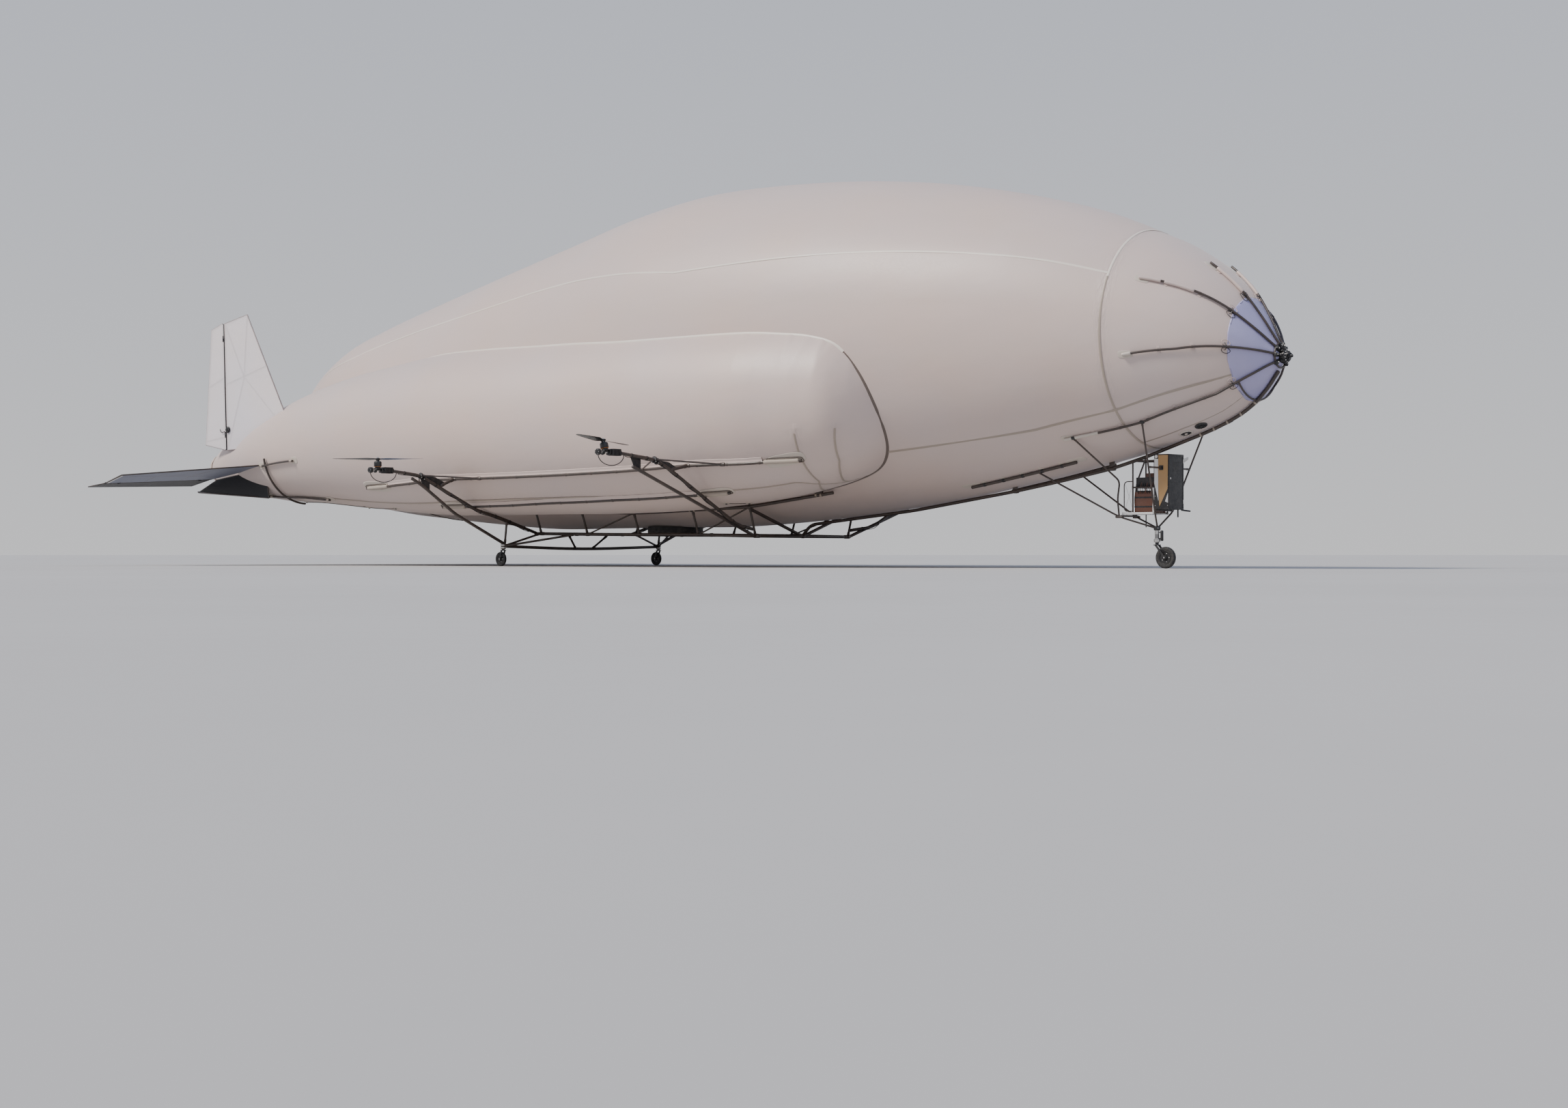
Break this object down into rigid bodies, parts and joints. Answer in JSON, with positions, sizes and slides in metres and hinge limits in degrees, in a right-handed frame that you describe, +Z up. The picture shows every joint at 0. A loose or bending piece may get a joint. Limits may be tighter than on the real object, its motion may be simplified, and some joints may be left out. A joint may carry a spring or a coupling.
{
  "type": "three-lobed electric airship with tilting motors",
  "caption": "Three-lobed non-rigid airship on castors, with a tubular keel, outriggers carrying tilting motors and propellers, and a tail with elevators and rudders.",
  "frame": {"origin": "on the floor, under the middle of the bounding box, with all three wheels on the floor", "axes": "+X to the nose, +Y to port (the airship's left), +Z up"},
  "size_m": [22.73, 11.5353, 6.5133],
  "materials": {
    "envelope_fabric": "satin coated gas-tight fabric",
    "nose_cap_fabric": "smooth coated fabric",
    "black_metal": "satin black",
    "dark_tube": "wrapped carbon tube, satin",
    "bare_metal": "machined",
    "cabinet_panel": "matt black",
    "battery_case": "dark brown shrink wrap",
    "black_plastic": "matt",
    "tail_fabric": "black woven ripstop",
    "blue_fabric": "dark blue ripstop",
    "fin_fabric": "white translucent ripstop",
    "carbon_blade": "carbon, clear coated",
    "tyre_rubber": "matt rubber"
  },
  "bodies": {
    "airframe": {"envelope": "envelope_fabric", "nose_cap": "nose_cap_fabric", "nose_hub": "black_metal", "nose_battens": "dark_tube", "keel_tube": "dark_tube", "cross_frame": "dark_tube", "landing_frame": "dark_tube", "nose_gear_frame": "dark_tube", "nose_leg": "bare_metal", "equipment_cabinet": "cabinet_panel", "equipment_rack": "dark_tube", "battery_pack": "battery_case", "belly_blower": "black_plastic", "belly_collar": "dark_tube", "front_valve": "black_plastic", "rear_valve": "nose_cap_fabric", "bow_vent": "black_plastic", "centre_tailplane": "tail_fabric", "side_lobe_right": "envelope_fabric", "girder_right": "dark_tube", "upper_rail_right": "dark_tube", "lower_rail_right": "dark_tube", "tail_hoop_right": "dark_tube", "stabilizer_right": "blue_fabric", "fin_right": "fin_fabric", "outrigger_front_right": "dark_tube", "outrigger_rear_right": "dark_tube", "side_lobe_left": "envelope_fabric", "girder_left": "dark_tube", "upper_rail_left": "dark_tube", "lower_rail_left": "dark_tube", "tail_hoop_left": "dark_tube", "stabilizer_left": "blue_fabric", "fin_left": "fin_fabric", "outrigger_front_left": "dark_tube", "outrigger_rear_left": "dark_tube"},
    "nose_castor": {"nose_fork": "black_metal"},
    "nose_wheel": {"nose_wheel": "tyre_rubber"},
    "elevator_right": {"elevator_right": "tail_fabric"},
    "rudder_right": {"rudder_right": "fin_fabric"},
    "main_castor_right": {"main_fork_right": "black_metal"},
    "main_wheel_right": {"main_wheel_right": "tyre_rubber"},
    "motor_front_right": {"motor_front_right": "black_metal"},
    "propeller_front_right": {"propeller_front_right": "carbon_blade"},
    "motor_rear_right": {"motor_rear_right": "black_metal"},
    "propeller_rear_right": {"propeller_rear_right": "carbon_blade"},
    "elevator_left": {"elevator_left": "tail_fabric"},
    "rudder_left": {"rudder_left": "fin_fabric"},
    "main_castor_left": {"main_fork_left": "black_metal"},
    "main_wheel_left": {"main_wheel_left": "tyre_rubber"},
    "motor_front_left": {"motor_front_left": "black_metal"},
    "propeller_front_left": {"propeller_front_left": "carbon_blade"},
    "motor_rear_left": {"motor_rear_left": "black_metal"},
    "propeller_rear_left": {"propeller_rear_left": "carbon_blade"}
  },
  "joints": [
    {"name": "nose_castor_swivel", "type": "hinge", "parent": "airframe", "child": "nose_castor", "pos_m": [9.115, 0, 0.3961], "axis": [0, 0, 1], "continuous": true},
    {"name": "nose_wheel_spin", "type": "hinge", "parent": "nose_castor", "child": "nose_wheel", "pos_m": [9.265, 0, 0.165], "axis": [0, 1, 0], "continuous": true},
    {"name": "elevator_right_hinge", "type": "hinge", "parent": "airframe", "child": "elevator_right", "pos_m": [-10.665, -3.04, 1.7135], "axis": [-0.1593, 0.9856, 0.0572], "range_deg": [-25, 25]},
    {"name": "rudder_right_hinge", "type": "hinge", "parent": "airframe", "child": "rudder_right", "pos_m": [-10.215, -3, 2.2744], "axis": [-0.04, 0, 0.9992], "range_deg": [-25, 25]},
    {"name": "main_castor_right_swivel", "type": "hinge", "parent": "airframe", "child": "main_castor_right", "pos_m": [-3.225, -2.02, 0.305], "axis": [0, 0, 1], "continuous": true},
    {"name": "main_wheel_right_spin", "type": "hinge", "parent": "main_castor_right", "child": "main_wheel_right", "pos_m": [-3.285, -2.02, 0.13], "axis": [0, 1, 0], "continuous": true},
    {"name": "tilt_front_right", "type": "hinge", "parent": "airframe", "child": "motor_front_right", "pos_m": [2.415, -5.04, 1.7826], "axis": [0, 1, 0], "range_deg": [-15, 105]},
    {"name": "propeller_front_right_spin", "type": "hinge", "parent": "motor_front_right", "child": "propeller_front_right", "pos_m": [2.415, -5.04, 1.7826], "axis": [-0.2588, 0, 0.9659], "continuous": true},
    {"name": "tilt_rear_right", "type": "hinge", "parent": "airframe", "child": "motor_rear_right", "pos_m": [-3.035, -5.04, 1.6396], "axis": [0, 1, 0], "range_deg": [-30, 90]},
    {"name": "propeller_rear_right_spin", "type": "hinge", "parent": "motor_rear_right", "child": "propeller_rear_right", "pos_m": [-3.035, -5.04, 1.6396], "axis": [0, 0, 1], "continuous": true},
    {"name": "elevator_left_hinge", "type": "hinge", "parent": "airframe", "child": "elevator_left", "pos_m": [-10.665, 3.04, 1.7135], "axis": [0.1593, 0.9856, -0.0572], "range_deg": [-25, 25]},
    {"name": "rudder_left_hinge", "type": "hinge", "parent": "airframe", "child": "rudder_left", "pos_m": [-10.215, 3, 2.2744], "axis": [-0.04, 0, 0.9992], "range_deg": [-25, 25]},
    {"name": "main_castor_left_swivel", "type": "hinge", "parent": "airframe", "child": "main_castor_left", "pos_m": [-3.225, 2.02, 0.305], "axis": [0, 0, 1], "continuous": true},
    {"name": "main_wheel_left_spin", "type": "hinge", "parent": "main_castor_left", "child": "main_wheel_left", "pos_m": [-3.285, 2.02, 0.13], "axis": [0, 1, 0], "continuous": true},
    {"name": "tilt_front_left", "type": "hinge", "parent": "airframe", "child": "motor_front_left", "pos_m": [2.415, 5.04, 1.7826], "axis": [0, 1, 0], "range_deg": [-15, 105]},
    {"name": "propeller_front_left_spin", "type": "hinge", "parent": "motor_front_left", "child": "propeller_front_left", "pos_m": [2.415, 5.04, 1.7826], "axis": [-0.2588, 0, 0.9659], "continuous": true},
    {"name": "tilt_rear_left", "type": "hinge", "parent": "airframe", "child": "motor_rear_left", "pos_m": [-3.035, 5.04, 1.6396], "axis": [0, 1, 0], "range_deg": [-30, 90]},
    {"name": "propeller_rear_left_spin", "type": "hinge", "parent": "motor_rear_left", "child": "propeller_rear_left", "pos_m": [-3.035, 5.04, 1.6396], "axis": [0, 0, 1], "continuous": true}
  ]
}
